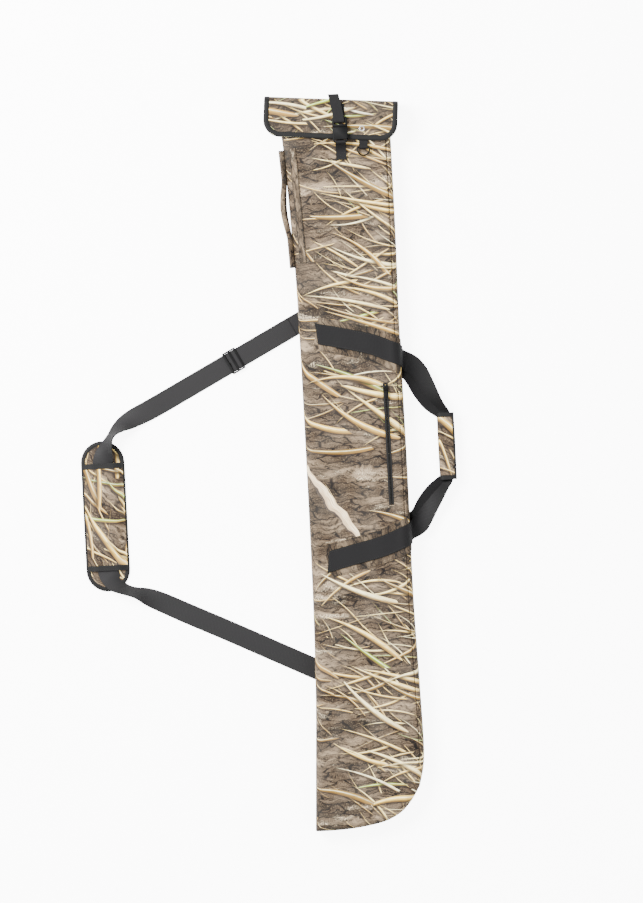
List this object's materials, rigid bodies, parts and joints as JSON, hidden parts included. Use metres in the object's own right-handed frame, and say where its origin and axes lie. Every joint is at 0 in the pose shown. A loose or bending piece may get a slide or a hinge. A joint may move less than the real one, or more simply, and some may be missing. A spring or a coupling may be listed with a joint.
{
  "type": "padded long gun case",
  "caption": "Camouflage padded case for a long gun, with a buckled flap over its mouth, a zip pocket, paired carry handles with a grip wrap, a side grab handle and a padded shoulder strap.",
  "frame": {"origin": "on the resting face of the back panel, under the middle of the case's length", "axes": "+Z through the thickness, away from the resting face; +Y along the length, towards the flap and mouth; +X towards the side with the carry handles"},
  "size_m": [0.6998, 1.3771, 0.0656],
  "materials": {
    "camo_fabric": "printed woven polyester with a random reed and bark pattern",
    "lining": "plain woven nylon",
    "foam": "closed-cell foam sheet",
    "webbing": "ribbed polypropylene webbing",
    "binding": "woven edge tape",
    "buckle_plastic": "moulded, fine texture",
    "eyelet_metal": "polished",
    "zipper_tape": "knitted tape",
    "zipper_teeth": "nylon coil",
    "slider_metal": "black enamel",
    "pull_metal": "nickel plated",
    "hook_strip": "hook tape"
  },
  "bodies": {
    "case": {"back_shell": "camo_fabric", "back_foam": "foam", "back_lining": "lining", "front_shell": "camo_fabric", "front_foam": "foam", "front_lining": "lining", "left_edge_wall": "camo_fabric", "left_handle_wall": "camo_fabric", "right_edge_wall": "camo_fabric", "toe_wall": "camo_fabric", "flap_root": "camo_fabric", "d_ring_tab": "webbing", "buckle_tab": "webbing", "buckle_female": "buckle_plastic", "grab_handle_lower_end": "camo_fabric", "grab_handle_upper_end": "camo_fabric", "grab_handle_loop": "camo_fabric", "front_upper_patch": "camo_fabric", "front_lower_patch": "camo_fabric", "back_upper_patch": "camo_fabric", "back_lower_patch": "camo_fabric", "front_upper_webbing": "webbing", "front_lower_webbing": "webbing", "back_upper_webbing": "webbing", "back_lower_webbing": "webbing", "zipper_left_tape": "zipper_tape", "zipper_right_tape": "zipper_tape", "zipper_teeth": "zipper_teeth", "zipper_stops": "zipper_teeth", "pocket_bag": "lining", "strap_upper_anchor": "webbing", "strap_lower_anchor": "webbing"},
    "flap_bridge": {"flap_bridge": "camo_fabric"},
    "flap": {"flap_panel": "camo_fabric", "flap_lining": "lining", "flap_binding": "binding", "hang_eyelet": "eyelet_metal", "closure_strap_base": "webbing"},
    "buckle_male": {"buckle_male": "buckle_plastic", "closure_strap_tail": "webbing"},
    "d_ring": {"d_ring": "buckle_plastic"},
    "zipper_slider": {"zipper_slider": "slider_metal"},
    "zipper_pull": {"zipper_pull": "pull_metal"},
    "shoulder_strap": {"strap_upper_webbing": "webbing", "strap_lower_webbing": "webbing", "strap_pad_webbing": "webbing", "strap_return_webbing": "webbing", "pad_base": "foam", "pad_binding": "binding", "pad_cover": "camo_fabric", "pad_cross_bands": "binding"},
    "tri_glide": {"tri_glide": "buckle_plastic"},
    "carry_handle": {"front_handle_loop": "webbing", "rear_handle_loop": "webbing", "grip_wrap_tray": "camo_fabric", "grip_tray_binding": "binding", "grip_filler": "foam"},
    "grip_cover": {"grip_wrap_cover": "camo_fabric", "grip_cover_binding": "binding", "grip_hook_strip": "hook_strip"}
  },
  "joints": [
    {"name": "flap_open", "type": "hinge", "parent": "case", "child": "flap_bridge", "pos_m": [-0.01037, 0.68249, 0.0015], "axis": [-0.996, 0.0889, 0], "range_deg": [0, 80]},
    {"name": "flap_fold", "type": "hinge", "parent": "flap_bridge", "child": "flap", "pos_m": [-0.01037, 0.68249, 0.0529], "axis": [-0.996, 0.0889, 0], "range_deg": [0, 80]},
    {"name": "buckle_release", "type": "slide", "parent": "flap", "child": "buckle_male", "axis": [0, 1, 0], "range_m": [0, 0.024]},
    {"name": "d_ring_swing", "type": "hinge", "parent": "case", "child": "d_ring", "pos_m": [0.0466, 0.592, 0.0512], "axis": [-1, 0, 0], "range_deg": [0, 110]},
    {"name": "zipper_slide", "type": "slide", "parent": "case", "child": "zipper_slider", "axis": [0, -1, 0], "range_m": [0, 0.2]},
    {"name": "zipper_pull_swing", "type": "hinge", "parent": "zipper_slider", "child": "zipper_pull", "pos_m": [0.064, 0.14, 0.0551], "axis": [-1, 0, 0], "range_deg": [0, 150]},
    {"name": "shoulder_strap_swing", "type": "hinge", "parent": "case", "child": "shoulder_strap", "pos_m": [-0.097, 0, 0.001], "axis": [0, 1, 0], "range_deg": [0, 90]},
    {"name": "tri_glide_slide", "type": "slide", "parent": "shoulder_strap", "child": "tri_glide", "axis": [-0.8885, -0.459, 0], "range_m": [-0.06, 0.16]},
    {"name": "carry_handle_swing", "type": "hinge", "parent": "case", "child": "carry_handle", "pos_m": [0.103, 0.029, 0.015], "axis": [0, -1, 0], "range_deg": [0, 90]},
    {"name": "grip_cover_open", "type": "hinge", "parent": "carry_handle", "child": "grip_cover", "pos_m": [0.1572, 0.029, 0.02015], "axis": [0, -1, 0], "range_deg": [0, 105]}
  ],
  "couplings": [
    {"joint": "flap_fold", "follows": "flap_open", "ratio": 1}
  ]
}
